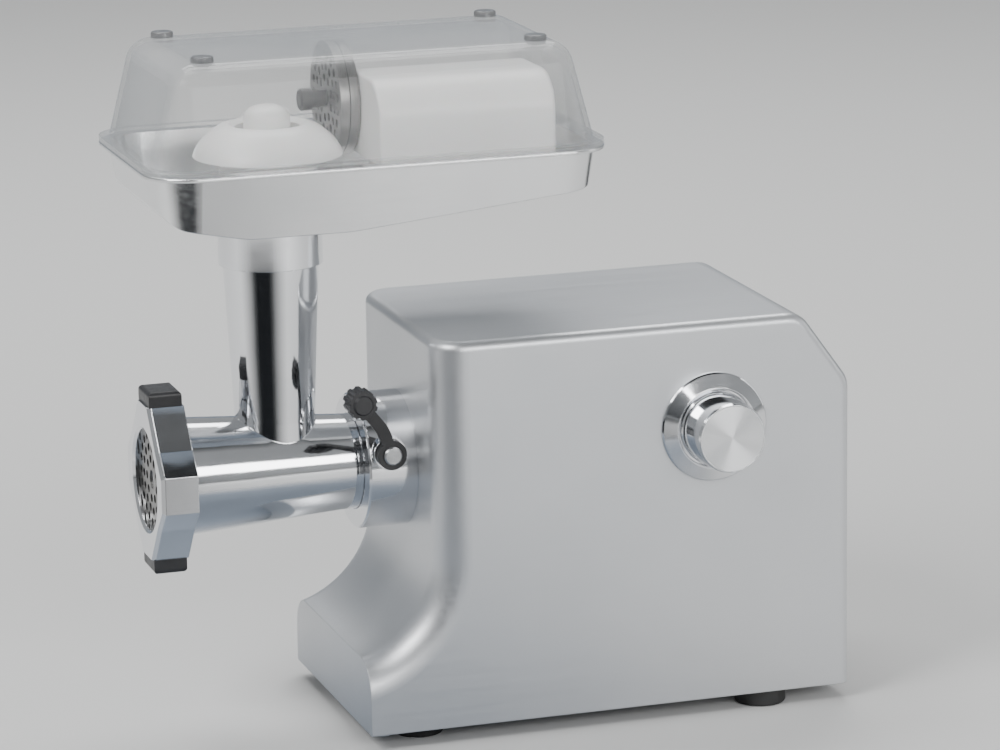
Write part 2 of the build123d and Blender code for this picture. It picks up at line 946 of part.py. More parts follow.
with BuildPart() as output_bearing:
    revolve(
        bearing(
            output_centre,
            output_radius + running_clearance,
            collar_back - 1,
            gearbox_front + case_wall,
            seal_radius,
        ),
        axis=barrel_axis,
    )
finish(output_bearing.part, "output_bearing")

# ---------------------------------------------------------------- gear train

to_shaft2 = bearing_angle(output_centre, shaft2_centre)
shaft2_to_1 = bearing_angle(shaft2_centre, shaft1_centre)
shaft1_to_motor = bearing_angle(shaft1_centre, motor_centre)
shaft_front = gearbox_front + 0.5
shaft_back = cover_back - 0.5


def stepped_shaft(centre, radius, journal_radius, front, back):
    """Half section of a solid shaft with a thinner journal in each end wall."""
    front_shoulder = gearbox_front + case_wall + gear_gap / 2
    back_shoulder = gearbox_back - gear_gap / 2
    return turned_x(
        [
            (front, 0),
            (front, journal_radius),
            (front_shoulder, journal_radius),
            (front_shoulder, radius),
            (back_shoulder, radius),
            (back_shoulder, journal_radius),
            (back, journal_radius),
            (back, 0),
        ],
        centre,
    )


socket_flats = shank_across_flats + 2 * drop_in_clearance
with BuildPart() as output_shaft:
    revolve(
        turned_x(
            [
                (collar_web_front + 0.5, 0),
                (collar_web_front + 0.5, output_radius),
                (stage3_front + stage3_face, output_radius),
                (stage3_front + stage3_face, output_radius - 2),
                (shaft_back, output_radius - 2),
                (shaft_back, 0),
            ],
            output_centre,
        ),
        axis=barrel_axis,
    )
    with BuildSketch(across(collar_web_front)):
        with Locations(output_centre):
            RegularPolygon(socket_flats / 2, 6, major_radius=False)
    extrude(amount=shank_back + 1 - collar_web_front, mode=Mode.SUBTRACT)
finish(output_shaft.part, "output_shaft")

with BuildPart() as output_gear:
    extrude(
        gear(
            stage3_teeth[1],
            stage3_module,
            gap_phase(stage3_teeth[1], to_shaft2),
            output_centre,
            stage3_front,
        ),
        amount=stage3_face,
    )
    with BuildSketch(across(stage3_front)):
        disc(output_centre, output_radius)
    extrude(amount=stage3_face, mode=Mode.SUBTRACT)
finish(output_gear.part, "output_gear")

with BuildPart() as stage2_pinion_shaft:
    revolve(
        stepped_shaft(
            shaft2_centre, layshaft_radius, layshaft_journal_radius, shaft_front, shaft_back
        ),
        axis=axis_x(shaft2_centre),
    )
    extrude(
        gear(stage3_teeth[0], stage3_module, to_shaft2 + 180, shaft2_centre, stage3_front),
        amount=stage3_face,
    )
finish(stage2_pinion_shaft.part, "stage2_pinion_shaft")

with BuildPart() as stage2_gear:
    extrude(
        gear(
            stage2_teeth[1],
            stage2_module,
            gap_phase(stage2_teeth[1], shaft2_to_1),
            shaft2_centre,
            stage2_front,
        ),
        amount=stage2_face,
    )
    with BuildSketch(across(stage2_front)):
        disc(shaft2_centre, layshaft_radius)
    extrude(amount=stage2_face, mode=Mode.SUBTRACT)
finish(stage2_gear.part, "stage2_gear")

with BuildPart() as stage1_pinion_shaft:
    revolve(
        stepped_shaft(
            shaft1_centre, layshaft_radius, layshaft_journal_radius, shaft_front, shaft_back
        ),
        axis=axis_x(shaft1_centre),
    )
    extrude(
        gear(stage2_teeth[0], stage2_module, shaft2_to_1 + 180, shaft1_centre, stage2_front),
        amount=stage2_face,
    )
finish(stage1_pinion_shaft.part, "stage1_pinion_shaft")

with BuildPart() as stage1_gear:
    extrude(
        gear(
            stage1_teeth[1],
            stage1_module,
            gap_phase(stage1_teeth[1], shaft1_to_motor),
            shaft1_centre,
            stage1_front,
        ),
        amount=stage1_face,
    )
    with BuildSketch(across(stage1_front)):
        disc(shaft1_centre, layshaft_radius)
    extrude(amount=stage1_face, mode=Mode.SUBTRACT)
finish(stage1_gear.part, "stage1_gear")

# ---------------------------------------------------------------- motor

with BuildPart() as motor_shaft:
    with BuildSketch(across(stage1_front + stage1_face)):
        disc(motor_centre, motor_shaft_radius)
    extrude(amount=motor_shaft_back - stage1_front - stage1_face)
    extrude(
        gear(stage1_teeth[0], stage1_module, shaft1_to_motor + 180, motor_centre, stage1_front),
        amount=stage1_face,
    )
finish(motor_shaft.part, "motor_shaft")

with BuildPart() as cooling_fan:
    with BuildSketch(across(fan_front)):
        disc(motor_centre, fan_radius)
    extrude(amount=2)
    with BuildSketch(across(fan_front + 2)):
        with Locations(motor_centre):
            Circle(motor_shaft_radius + 4)
            with PolarLocations((fan_radius + motor_shaft_radius) / 2 + 2, fan_blades):
                Rectangle(fan_radius - motor_shaft_radius - 6, 1.6)
    extrude(amount=fan_length - 2)
    with BuildSketch(across(fan_front)):
        disc(motor_centre, motor_shaft_radius)
    extrude(amount=fan_length, mode=Mode.SUBTRACT)
finish(cooling_fan.part, "cooling_fan")

with BuildPart() as armature_core:
    with BuildSketch(across(stator_front)):
        with Locations(motor_centre):
            Circle(armature_radius)
            with PolarLocations(armature_radius - 3, armature_slots):
                SlotOverall(8, 2.4, mode=Mode.SUBTRACT)
            Circle(motor_shaft_radius, mode=Mode.SUBTRACT)
    extrude(amount=armature_length)
finish(armature_core.part, "armature_core")

with BuildPart() as commutator:
    with BuildSketch(across(commutator_front)):
        with Locations(motor_centre):
            Circle(commutator_radius)
            with PolarLocations(commutator_radius, commutator_bars):
                Rectangle(2, 0.6, mode=Mode.SUBTRACT)
            Circle(motor_shaft_radius, mode=Mode.SUBTRACT)
    extrude(amount=commutator_length)
finish(commutator.part, "commutator")

with BuildPart() as motor_stator:
    with BuildSketch(across(stator_front)):
        with Locations(motor_centre):
            RectangleRounded(stator_size, stator_size, 8)
            Circle(stator_bore_radius, mode=Mode.SUBTRACT)
            with GridLocations(motor_bolt_spacing, motor_bolt_spacing, 2, 2):
                Circle(motor_bolt_radius + screw_clearance, mode=Mode.SUBTRACT)
    extrude(amount=armature_length)
finish(motor_stator.part, "motor_stator")

coil_split = 12
with BuildPart() as field_coils:
    with BuildSketch(across(stator_front - coil_length)):
        with Locations(motor_centre):
            Circle(coil_outer_radius)
            Circle(coil_inner_radius, mode=Mode.SUBTRACT)
            Rectangle(coil_split, 4 * coil_outer_radius, mode=Mode.SUBTRACT)
    extrude(amount=coil_length)
    with BuildSketch(across(stator_back)):
        with Locations(motor_centre):
            Circle(coil_outer_radius)
            Circle(coil_inner_radius, mode=Mode.SUBTRACT)
            Rectangle(coil_split, 4 * coil_outer_radius, mode=Mode.SUBTRACT)
    extrude(amount=coil_length)
    fillet(field_coils.edges().group_by(Axis.X)[0], 2)
    fillet(field_coils.edges().group_by(Axis.X)[-1], 2)
finish(field_coils.part, "field_coils")

with BuildPart() as motor_bracket:
    with BuildSketch(across(bracket_front)):
        with Locations(motor_centre):
            Rectangle(stator_size, 16)
            Rectangle(16, stator_size)
            RectangleRounded(motor_bolt_spacing + 12, motor_bolt_spacing + 12, 6)
            Circle(motor_bearing_radius, mode=Mode.SUBTRACT)
            with GridLocations(motor_bolt_spacing, motor_bolt_spacing, 2, 2):
                Circle(motor_bolt_radius + screw_clearance, mode=Mode.SUBTRACT)
            with PolarLocations(24, 4, start_angle=45):
                Circle(7, mode=Mode.SUBTRACT)
    extrude(amount=bracket_thickness)
finish(motor_bracket.part, "motor_bracket")

with BuildPart() as motor_bearings:
    for back in (cover_back, bracket_back):
        revolve(
            bearing(
                motor_centre,
                motor_shaft_radius + running_clearance,
                back - case_wall,
                back,
                motor_bearing_radius,
            ),
            axis=axis_x(motor_centre),
        )
finish(motor_bearings.part, "motor_bearings")

with BuildPart() as motor_bolts:
    with BuildSketch(across(gearbox_back + 0.5)):
        with Locations(motor_centre):
            with GridLocations(motor_bolt_spacing, motor_bolt_spacing, 2, 2):
                Circle(motor_bolt_radius)
    extrude(amount=bracket_back - gearbox_back)
    with BuildSketch(across(bracket_back)):
        with Locations(motor_centre):
            with GridLocations(motor_bolt_spacing, motor_bolt_spacing, 2, 2):
                Circle(screw_head_radius)
    extrude(amount=screw_head_height)
finish(motor_bolts.part, "motor_bolts")

brush_reach = commutator_radius + body_gap + brush_length / 2
with BuildPart() as carbon_brushes:
    with BuildSketch(across(commutator_front + (commutator_length - brush_width) / 2)):
        with Locations(motor_centre):
            with GridLocations(2 * brush_reach, 0, 2, 1):
                Rectangle(brush_length, brush_width)
    extrude(amount=brush_width)
finish(carbon_brushes.part, "carbon_brushes")

with BuildPart() as brush_holders:
    with BuildSketch(across(commutator_front)):
        with Locations(motor_centre):
            with GridLocations(2 * (brush_reach + 2), 0, 2, 1):
                Rectangle(brush_length, brush_width + 5)
    extrude(amount=bracket_front - commutator_front)
    with BuildSketch(across(commutator_front + (commutator_length - brush_width) / 2)):
        with Locations(motor_centre):
            with GridLocations(2 * brush_reach, 0, 2, 1):
                Rectangle(brush_length, brush_width)
    extrude(amount=brush_width, mode=Mode.SUBTRACT)
finish(brush_holders.part, "brush_holders")

# ---------------------------------------------------------------- grinding head

chamber_back = plate_back + blade_chamber_length
key_radius = 1.5
key_x = plate_back - 2
key_outer = nose_thread_radius - 0.5
key_inner = plate_radius - 2
nose_thread_back = nose_front + nose_thread_length
bore_top = barrel_height + bore_radius

with BuildPart() as grinder_barrel:
    revolve(
        turned_x(
            [
                (nose_front, 0),
                (nose_front, nose_thread_radius - 1),
                (nose_front + 1, nose_thread_radius),
                (nose_thread_back, nose_thread_radius),
                (nose_thread_back, barrel_nose_radius),
                (nut_front + nut_length + 1, barrel_nose_radius),
                (collar_front - 3, barrel_tail_radius),
                (collar_front - body_gap, barrel_tail_radius),
                (collar_front - body_gap, spigot_radius),
                (spigot_back, spigot_radius),
                (spigot_back, 0),
            ],
            output_centre,
        ),
        axis=barrel_axis,
    )
    revolve(
        turned_z(
            [
                (0, barrel_height),
                (throat_foot_radius, barrel_height),
                (throat_foot_radius, barrel_height + barrel_tail_radius + 3),
                (throat_top_radius, mouth_top - mouth_height),
                (mouth_radius, mouth_top - mouth_height),
                (mouth_radius, mouth_top),
                (0, mouth_top),
            ],
            throat_x,
        ),
        axis=throat_axis,
    )
    revolve(
        turned_x(
            [
                (plate_front, 0),
                (plate_front, plate_radius + running_clearance),
                (plate_back, plate_radius + running_clearance),
                (plate_back, blade_chamber_radius),
                (chamber_back, blade_chamber_radius),
                (chamber_back + blade_chamber_radius - bore_radius, bore_radius),
                (barrel_web_front, bore_radius),
                (barrel_web_front, journal_radius + running_clearance),
                (spigot_back, journal_radius + running_clearance),
                (spigot_back, 0),
            ],
            output_centre,
        ),
        axis=barrel_axis,
        mode=Mode.SUBTRACT,
    )
    revolve(
        turned_z(
            [
                (0, barrel_height),
                (throat_bore_foot, barrel_height),
                (throat_bore_foot, bore_top + 3),
                (throat_bore_top, mouth_top - mouth_seat_depth),
                (mouth_seat_radius, mouth_top - mouth_seat_depth),
                (mouth_seat_radius, mouth_top),
                (0, mouth_top),
            ],
            throat_x,
        ),
        axis=throat_axis,
        mode=Mode.SUBTRACT,
    )
    with BuildSketch(Plane.XY.offset(barrel_height - key_outer)):
        disc((key_x, 0), key_radius)
    extrude(amount=key_outer - key_inner, mode=Mode.SUBTRACT)
finish(grinder_barrel.part, "grinder_barrel")

with BuildPart() as plate_key:
    with BuildSketch(Plane.XY.offset(barrel_height - key_outer)):
        disc((key_x, 0), key_radius)
    extrude(amount=key_outer - key_inner)
finish(plate_key.part, "plate_key")

# ---------------------------------------------------------------- plate, blade and ring nut


def plate_face(centre, x):
    """Face of a grinding plate: rings of holes round a centre hole, and a notch for the key."""
    with BuildSketch(across(x)) as face:
        with Locations(centre):
            Circle(plate_radius)
            Circle(spindle_radius + running_clearance, mode=Mode.SUBTRACT)
            for ring_radius, holes in ((11, 9), (17.5, 15), (24, 21)):
                with PolarLocations(ring_radius, holes):
                    Circle(plate_hole_radius, mode=Mode.SUBTRACT)
            with Locations((0, -plate_radius)):
                Rectangle(
                    2 * (key_radius + body_gap),
                    2 * (plate_radius - key_inner + body_gap),
                    mode=Mode.SUBTRACT,
                )
    return face.sketch


with BuildPart() as grinding_plate:
    extrude(plate_face(output_centre, plate_front), amount=plate_thickness)
finish(grinding_plate.part, "grinding_plate")

nut_back = nut_front + nut_length
# the corner below each ear, at the end of the slanted facet
nut_corner_y = nut_waist_radius - nut_facet_run
nut_corner_z = nut_flat_height / 2 + nut_facet_run
chamfer_limit = nut_waist_radius - 2
cap_base_radius = nut_ear_radius - nut_cap_height
with BuildPart() as ring_nut:
    with BuildSketch(across(nut_front)):
        with Locations(output_centre):
            Polygon(
                (-nut_ear_width / 2, -cap_base_radius),
                (nut_ear_width / 2, -cap_base_radius),
                (nut_corner_y, -nut_corner_z),
                (nut_waist_radius, -nut_flat_height / 2),
                (nut_waist_radius, nut_flat_height / 2),
                (nut_corner_y, nut_corner_z),
                (nut_ear_width / 2, cap_base_radius),
                (-nut_ear_width / 2, cap_base_radius),
                (-nut_corner_y, nut_corner_z),
                (-nut_waist_radius, nut_flat_height / 2),
                (-nut_waist_radius, -nut_flat_height / 2),
                (-nut_corner_y, -nut_corner_z),
                align=None,
            )
    extrude(amount=nut_length)
    nut_rim = ring_nut.faces().sort_by(Axis.X)[0].edges()
    low_rim, high_rim = barrel_height - chamfer_limit, barrel_height + chamfer_limit
    chamfer(nut_rim.filter_by_position(Axis.Z, low_rim, high_rim), 2)
    revolve(
        turned_x(
            [
                (nut_front, 0),
                (nut_front, nut_opening_radius + 1.5),
                (nut_front + 1.5, nut_opening_radius),
                (plate_front, nut_opening_radius),
                (plate_front, nose_thread_radius + running_clearance),
                (nut_back, nose_thread_radius + running_clearance),
                (nut_back, 0),
            ],
            output_centre,
        ),
        axis=barrel_axis,
        mode=Mode.SUBTRACT,
    )
finish(ring_nut.part, "ring_nut")

cap_middle = cap_base_radius + nut_cap_height / 2
with BuildPart() as nut_grip_caps:
    with BuildSketch(across(nut_front + 1)):
        with Locations(output_centre):
            with GridLocations(0, 2 * cap_middle, 1, 2):
                Rectangle(nut_ear_width, nut_cap_height)
    extrude(amount=nut_length - 2)
    fillet(nut_grip_caps.edges().group_by(Axis.Z)[0], 2.5)
    fillet(nut_grip_caps.edges().group_by(Axis.Z)[-1], 2.5)
finish(nut_grip_caps.part, "nut_grip_caps")

blade_square = 10
with BuildPart() as cutting_blade:
    with BuildSketch(across(blade_front)):
        with Locations(output_centre):
            Circle(blade_width)
            Rectangle(2 * (blade_chamber_radius - 2), blade_width)
            Rectangle(blade_width, 2 * (blade_chamber_radius - 2))
            Rectangle(blade_square, blade_square, mode=Mode.SUBTRACT)
    extrude(amount=blade_thickness)
finish(cutting_blade.part, "cutting_blade")

# ---------------------------------------------------------------- worm

flight_radius = bore_radius - 0.5
flight_front = washer_front - 4 - flight_length
flight_angle = 360 * flight_thickness / worm_pitch
with BuildSketch() as flight_section:
    with BuildLine():
        hub_line = Line((0, 0), (flight_radius, 0))
        tip_arc = CenterArc((0, 0), flight_radius, 0, flight_angle)
        Line(tip_arc @ 1, (0, 0))
    make_face()
flight = Solid.extrude_linear_with_rotation(
    flight_section.sketch.faces()[0],
    center=(0, 0, 0),
    normal=(0, 0, flight_length),
    angle=360 * worm_turns,
)
flight_place = Plane(origin=(flight_front, 0, barrel_height), x_dir=(0, 1, 0), z_dir=(1, 0, 0))

with BuildPart() as worm:
    revolve(
        turned_x(
            [
                (plate_front + 1, 0),
                (plate_front + 1, spindle_radius),
                (worm_front, spindle_radius),
                (worm_front, worm_root_radius),
                (washer_front, worm_root_radius),
                (washer_front, journal_radius),
                (shank_front, journal_radius),
                (shank_front, 0),
            ],
            output_centre,
        ),
        axis=barrel_axis,
    )
    with BuildSketch(across(blade_front)):
        with Locations(output_centre):
            Rectangle(blade_square, blade_square)
    extrude(amount=blade_thickness)
    add(flight_place.location * flight)
finish(worm.part, "worm")

with BuildPart() as worm_drive_shank:
    with BuildSketch(across(shank_front)):
        with Locations(output_centre):
            RegularPolygon(shank_across_flats / 2, 6, major_radius=False)
    extrude(amount=shank_length)
    chamfer(worm_drive_shank.faces().sort_by(Axis.X)[-1].edges(), 1)
finish(worm_drive_shank.part, "worm_drive_shank")

with BuildPart() as worm_washer:
    revolve(
        bearing(output_centre, journal_radius, washer_front, washer_back, bore_radius - 1),
        axis=barrel_axis,
    )
finish(worm_washer.part, "worm_washer")

# ---------------------------------------------------------------- hopper tray


def tray_block(inset):
    """The tray's outer shape, or its inside when inset by the wall."""
    drop = rim_height - tray_floor_height
    with BuildPart() as block:
        with BuildSketch(Plane.XY.offset(rim_height)):
            with Locations((tray_middle, 0)):
                RectangleRounded(
                    tray_length - 2 * inset, tray_width - 2 * inset, tray_corner - inset
                )
        extrude(amount=-(drop + 1), taper=tray_draft)
        with BuildSketch(Plane.XZ) as side:
            with BuildLine():
                Polyline(
                    (tray_front + inset, rim_height),
                    (tray_front + inset + 3, rim_height - tray_front_depth + inset),
                    (throat_x - mouth_radius, tray_floor_height + inset),
                    (throat_x + mouth_radius, tray_floor_height + inset),
                    (tray_rear - inset - 2, rim_height - tray_rear_depth + inset),
                    (tray_rear - inset, rim_height),
                    close=True,
                )
            make_face()
            low_corners = side.vertices().sort_by(Axis.Y)[:2]
            fillet(low_corners, 60)
            ends = side.vertices().filter_by_position(Axis.Y, 285 + inset, rim_height - 5)
            fillet(ends.sort_by(Axis.X)[0], 16 - inset)
            fillet(side.vertices().group_by(Axis.X)[-2], 9 - inset)
        extrude(side.sketch, amount=tray_width, both=True, mode=Mode.INTERSECT)
    return block.part


tray_inside = tray_block(tray_wall)
with BuildPart() as hopper_tray:
    add(tray_block(0))
    with BuildSketch(Plane.XY.offset(rim_height - tray_flange_thickness)):
        with Locations((tray_middle, 0)):
            RectangleRounded(
                tray_length + 2 * tray_flange,
                tray_width + 2 * tray_flange,
                tray_corner + tray_flange,
            )
    extrude(amount=tray_flange_thickness)
    fillet(hopper_tray.edges().group_by(Axis.Z)[-1], 0.8)
    add(tray_inside, mode=Mode.SUBTRACT)
    # tube that drops into the throat's mouth
    with BuildSketch(Plane.XY.offset(mouth_top - mouth_seat_depth + 2)):
        disc((throat_x, 0), mouth_seat_radius - running_clearance)
    extrude(amount=tray_floor_height + tray_wall - (mouth_top - mouth_seat_depth + 2))
    with BuildSketch(Plane.XY.offset(mouth_top - mouth_seat_depth)):
        disc((throat_x, 0), tray_hole_radius)
    extrude(amount=mouth_seat_depth + 5, mode=Mode.SUBTRACT)
finish(hopper_tray.part, "hopper_tray")

# ---------------------------------------------------------------- clear lid


def lid_block(inset):
    """The lid's outer shape above the rim, or its inside when inset by the wall."""
    taper = degrees(atan2(lid_draft, lid_height))
    with BuildPart() as block:
        with BuildSketch(Plane.XY.offset(lid_base)):
            with Locations((tray_middle, 0)):
                RectangleRounded(
                    tray_length - 2 * inset, tray_width - 2 * inset, tray_corner - inset
                )
        extrude(amount=lid_height - inset, taper=taper)
        fillet(block.faces().sort_by(Axis.Z)[-1].edges(), lid_top_round - inset)
    return block.part


lid_inside = lid_block(lid_wall)
with BuildPart() as hopper_lid:
    add(lid_block(0))
    with BuildSketch(Plane.XY.offset(lid_base)):
        with Locations((tray_middle, 0)):
            RectangleRounded(
                tray_length + 2 * tray_flange,
                tray_width + 2 * tray_flange,
                tray_corner + tray_flange,
            )
    extrude(amount=lid_wall)
    add(lid_inside, mode=Mode.SUBTRACT)
finish(hopper_lid.part, "hopper_lid")

with BuildPart() as lid_bumpers:
    with BuildSketch(Plane.XY.offset(lid_top)):
        with Locations((tray_middle, 0)):
            with GridLocations(
                tray_length - 2 * bumper_inset_x, tray_width - 2 * bumper_inset_y, 2, 2
            ):
                Circle(bumper_radius)
    extrude(amount=bumper_height)
    fillet(lid_bumpers.edges().group_by(Axis.Z)[-1], 1)
finish(lid_bumpers.part, "lid_bumpers")

# ---------------------------------------------------------------- food pusher

hub_foot = tray_floor_height + tray_wall + body_gap
recess_floor = guard_top_height - guard_recess_depth
with BuildPart() as food_pusher:
    with BuildSketch(Plane.XZ) as pusher_section:
        with BuildLine():
            Polyline(
                (throat_x, recess_floor),
                (throat_x, pusher_foot_height),
                (throat_x + pusher_radius - 2, pusher_foot_height),
                (throat_x + pusher_radius, pusher_foot_height + 2),
                (throat_x + pusher_radius, hub_foot),
                (throat_x + guard_hub_radius, hub_foot),
                (throat_x + guard_hub_radius, guard_rim_height + 4),
                (throat_x + guard_radius - guard_thickness, guard_rim_height),
                (throat_x + guard_radius, guard_rim_height),
            )
            Spline(
                (throat_x + guard_radius, guard_rim_height),
                (throat_x + guard_radius - 8, (guard_rim_height + guard_top_height) / 2 + 3),
                (throat_x + guard_recess_radius + 3, guard_top_height),
                tangents=[(-0.25, 1), (-1, 0.05)],
            )
            Polyline(
                (throat_x + guard_recess_radius + 3, guard_top_height),
                (throat_x + guard_recess_radius, guard_top_height - 2),
                (throat_x + guard_recess_radius, recess_floor),
                (throat_x, recess_floor),
            )
        make_face()
    revolve(axis=throat_axis)
finish(food_pusher.part, "food_pusher")

with BuildPart() as pusher_grip:
    with BuildSketch(Plane.XZ):
        with BuildLine():
            Polyline(
                (throat_x, grip_top_height),
                (throat_x, recess_floor),
                (throat_x + grip_radius, recess_floor),
                (throat_x + grip_radius, grip_top_height - 8),
            )
            Spline(
                (throat_x + grip_radius, grip_top_height - 8),
                (throat_x + grip_radius * 0.72, grip_top_height - 2),
                (throat_x, grip_top_height),
                tangents=[(0, 1), (-1, 0)],
            )
        make_face()
    revolve(axis=throat_axis)
finish(pusher_grip.part, "pusher_grip")

# ---------------------------------------------------------------- accessories in the tray

case_far = case_side + case_width
case_foot_height = rim_height - tray_rear_depth + tray_wall + 1
with BuildPart() as accessory_case:
    with BuildSketch(across(case_front)):
        with Locations(((case_side + case_far) / 2, (case_bottom + case_top) / 2)):
            Rectangle(case_width, case_top - case_bottom)
    extrude(amount=case_rear - case_front)
    long_edges = accessory_case.edges().filter_by(Axis.X)
    fillet(long_edges.group_by(Axis.Z)[-1], case_round)
    fillet(accessory_case.edges().filter_by(Axis.X).group_by(Axis.Z)[0], 5)
    fillet(accessory_case.faces().sort_by(Axis.X)[-1].edges(), 3)
    fillet(accessory_case.faces().sort_by(Axis.X)[0].edges(), 1.5)
    with BuildSketch(Plane.XY.offset(case_foot_height)):
        with Locations(((case_front + case_rear) / 2, (case_side + case_far) / 2)):
            with GridLocations(case_rear - case_front - 30, case_width - 24, 2, 2):
                Circle(5)
    extrude(amount=case_bottom - case_foot_height + 1)
finish(accessory_case.part, "accessory_case")

with BuildPart() as plate_holder:
    revolve(
        turned_x(
            [
                (holder_front - holder_tip_length, 0),
                (holder_front - holder_tip_length, holder_tip_radius - 1),
                (holder_front - holder_tip_length + 1, holder_tip_radius),
                (holder_front, holder_tip_radius),
                (holder_front, holder_radius),
                (case_front, holder_radius),
                (case_front, 0),
            ],
            (spare_plate_y, spare_plate_height),
        ),
        axis=axis_x((spare_plate_y, spare_plate_height)),
    )
finish(plate_holder.part, "plate_holder")

with BuildPart() as spare_plates:
    for place in (0, 1):
        front = spare_plate_front + place * (spare_plate_thickness + spare_plate_gap)
        extrude(
            plate_face((spare_plate_y, spare_plate_height), front), amount=spare_plate_thickness
        )
finish(spare_plates.part, "spare_plates")
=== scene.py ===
import json
from math import cos, radians, sin

import bpy
from mathutils import Matrix, Vector


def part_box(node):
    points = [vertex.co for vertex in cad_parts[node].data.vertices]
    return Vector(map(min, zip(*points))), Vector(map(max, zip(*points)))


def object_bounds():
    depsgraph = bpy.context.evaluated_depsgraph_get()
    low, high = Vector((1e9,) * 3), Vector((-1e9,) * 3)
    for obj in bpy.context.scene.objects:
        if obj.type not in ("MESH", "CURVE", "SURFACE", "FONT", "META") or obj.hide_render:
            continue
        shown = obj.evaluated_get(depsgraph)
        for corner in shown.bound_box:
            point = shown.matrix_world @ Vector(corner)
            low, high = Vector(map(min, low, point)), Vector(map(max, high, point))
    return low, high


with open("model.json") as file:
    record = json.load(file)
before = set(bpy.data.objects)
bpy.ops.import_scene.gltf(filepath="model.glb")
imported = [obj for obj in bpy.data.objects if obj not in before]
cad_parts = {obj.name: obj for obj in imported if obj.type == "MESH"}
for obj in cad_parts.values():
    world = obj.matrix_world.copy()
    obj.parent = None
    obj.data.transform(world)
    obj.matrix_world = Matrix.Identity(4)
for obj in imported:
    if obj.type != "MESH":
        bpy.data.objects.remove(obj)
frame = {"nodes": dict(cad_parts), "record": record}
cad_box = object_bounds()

nodes = frame["nodes"]
node_slots = {part["node"]: part["material_slot"] for part in frame["record"]["subparts"]}

WORM_AXIS = (0, 0, 0.142)  # a point on the worm's axis, which runs along X
SPARE_PLATE_AXIS = (0, 0.028, 0.337)  # a point on the spare plates' axis, which runs along X

# ---------------------------------------------------------------- camera

CAMERA_AIM = Vector((-0.0463, -0.0246, 0.1883))
CAMERA_DISTANCE = 2.40  # metres from the aim
CAMERA_AZIMUTH = -17.606  # degrees, as are the next two
CAMERA_ELEVATION = 13.538
CAMERA_ROLL = -0.905
CAMERA_LENS = 159.84  # millimetres, as is the sensor's width
CAMERA_SENSOR = 36


def make_camera():
    """The photographer's place: in front of the operator's side, a little to the left and above."""
    camera = bpy.data.objects.new("camera", bpy.data.cameras.new("camera"))
    bpy.context.scene.collection.objects.link(camera)
    camera.data.lens = CAMERA_LENS
    camera.data.sensor_width = CAMERA_SENSOR
    turn = (
        Matrix.Rotation(radians(CAMERA_AZIMUTH), 4, "Z")
        @ Matrix.Rotation(radians(90 - CAMERA_ELEVATION), 4, "X")
        @ Matrix.Rotation(radians(CAMERA_ROLL), 4, "Z")
    )
    back = turn.to_3x3() @ Vector((0, 0, 1))
    camera.matrix_world = Matrix.Translation(CAMERA_AIM + back * CAMERA_DISTANCE) @ turn
    bpy.context.scene.camera = camera


# ---------------------------------------------------------------- floor and light

MIDDLE = (cad_box[0] + cad_box[1]) / 2
FLOOR_HEIGHT = cad_box[0].z
FLOOR_REACH = 30.0  # metres to each side
FLOOR_SHADE_FADE_FROM, FLOOR_SHADE_FADE_TO = 0.3, 3.0  # metres from the object where the floor's painted shade starts and stops fading out, the floor growing paler between them

THROAT = (-0.166, 0)  # x and y of the feed throat
KNOB = (0.058, -0.08)  # x and y of the switch knob
CARD_STEPS = 16
CARD_SIDE_FADE = 3  # one over the share of a card's width that each side takes to fade in
CARD_TOP_FADE = 0.75  # share of a card's height from which it fades out upwards
DISC_STEPS = 24
DISC_LIFT = 0.0005  # metres over the floor

# sine of the elevation, and how bright the room is there
ROOM_STOPS = [(0.0, 0.58), (0.25, 0.50), (0.80, 0.45), (0.90, 0.05), (0.985, 0.05), (1.0, 0.30)]
ROOM_STRENGTH = 0.75


def add_mesh(name, points, faces, material):
    """A mesh object made from points and faces."""
    mesh = bpy.data.meshes.new(name)
    mesh.from_pydata(points, [], faces)
    mesh.materials.append(material)
    piece = bpy.data.objects.new(name, mesh)
    bpy.context.scene.collection.objects.link(piece)
    return piece


def make_floor():
    """A wide pale floor at the height of the feet, with painted shade round the object that fades out,
    so the floor grows paler away from it.
    """
    signs = ((-1, -1), (1, -1), (1, 1), (-1, 1))
    corners = [(FLOOR_REACH * x, FLOOR_REACH * y, FLOOR_HEIGHT) for x, y in signs]
    look = Surface("floor", Roughness=0.85, Specular_IOR_Level=0.2)
    away = look.distance_from((0, 0, 0), ROUND_Z)
    # painted shade: the floor is darker near the object and fades to pale farther out
    look.tint(away, (0.60, 0.60, 0.595), (0.95, 0.95, 0.94), FLOOR_SHADE_FADE_FROM, FLOOR_SHADE_FADE_TO)
    add_mesh("floor", corners, [(0, 1, 2, 3)], look.material)


def toward(azimuth, elevation=0):
    """The direction from the object at azimuth (0 is -Y, 90 is +X) and elevation."""
    turn = radians(azimuth)
    level = cos(radians(elevation))
    return Vector((sin(turn) * level, -cos(turn) * level, sin(radians(elevation))))


def card_material(name, grey):
    """A dark bluish card whose edges fade out by the mesh's own fade value."""
    bluish = (grey, grey * 1.15, grey * 1.35, 1)
    look = Surface(name, Roughness=0.9, Specular_IOR_Level=0.2, Base_Color=bluish)
    fade = look.add("ShaderNodeAttribute", attribute_name="fade")
    look.link(fade.outputs["Fac"], look.shader.inputs["Alpha"])
    return look.material


def show_only_in_metal(card, fades):
    """Gives a card its fade values, one a point, and hides it from all but reflections."""
    fade = card.data.attributes.new("fade", "FLOAT", "POINT")
    for index, value in enumerate(fades):
        fade.data[index].value = value
    card.visible_camera = False
    card.visible_diffuse = False
    card.visible_shadow = False
    card.visible_transmission = False


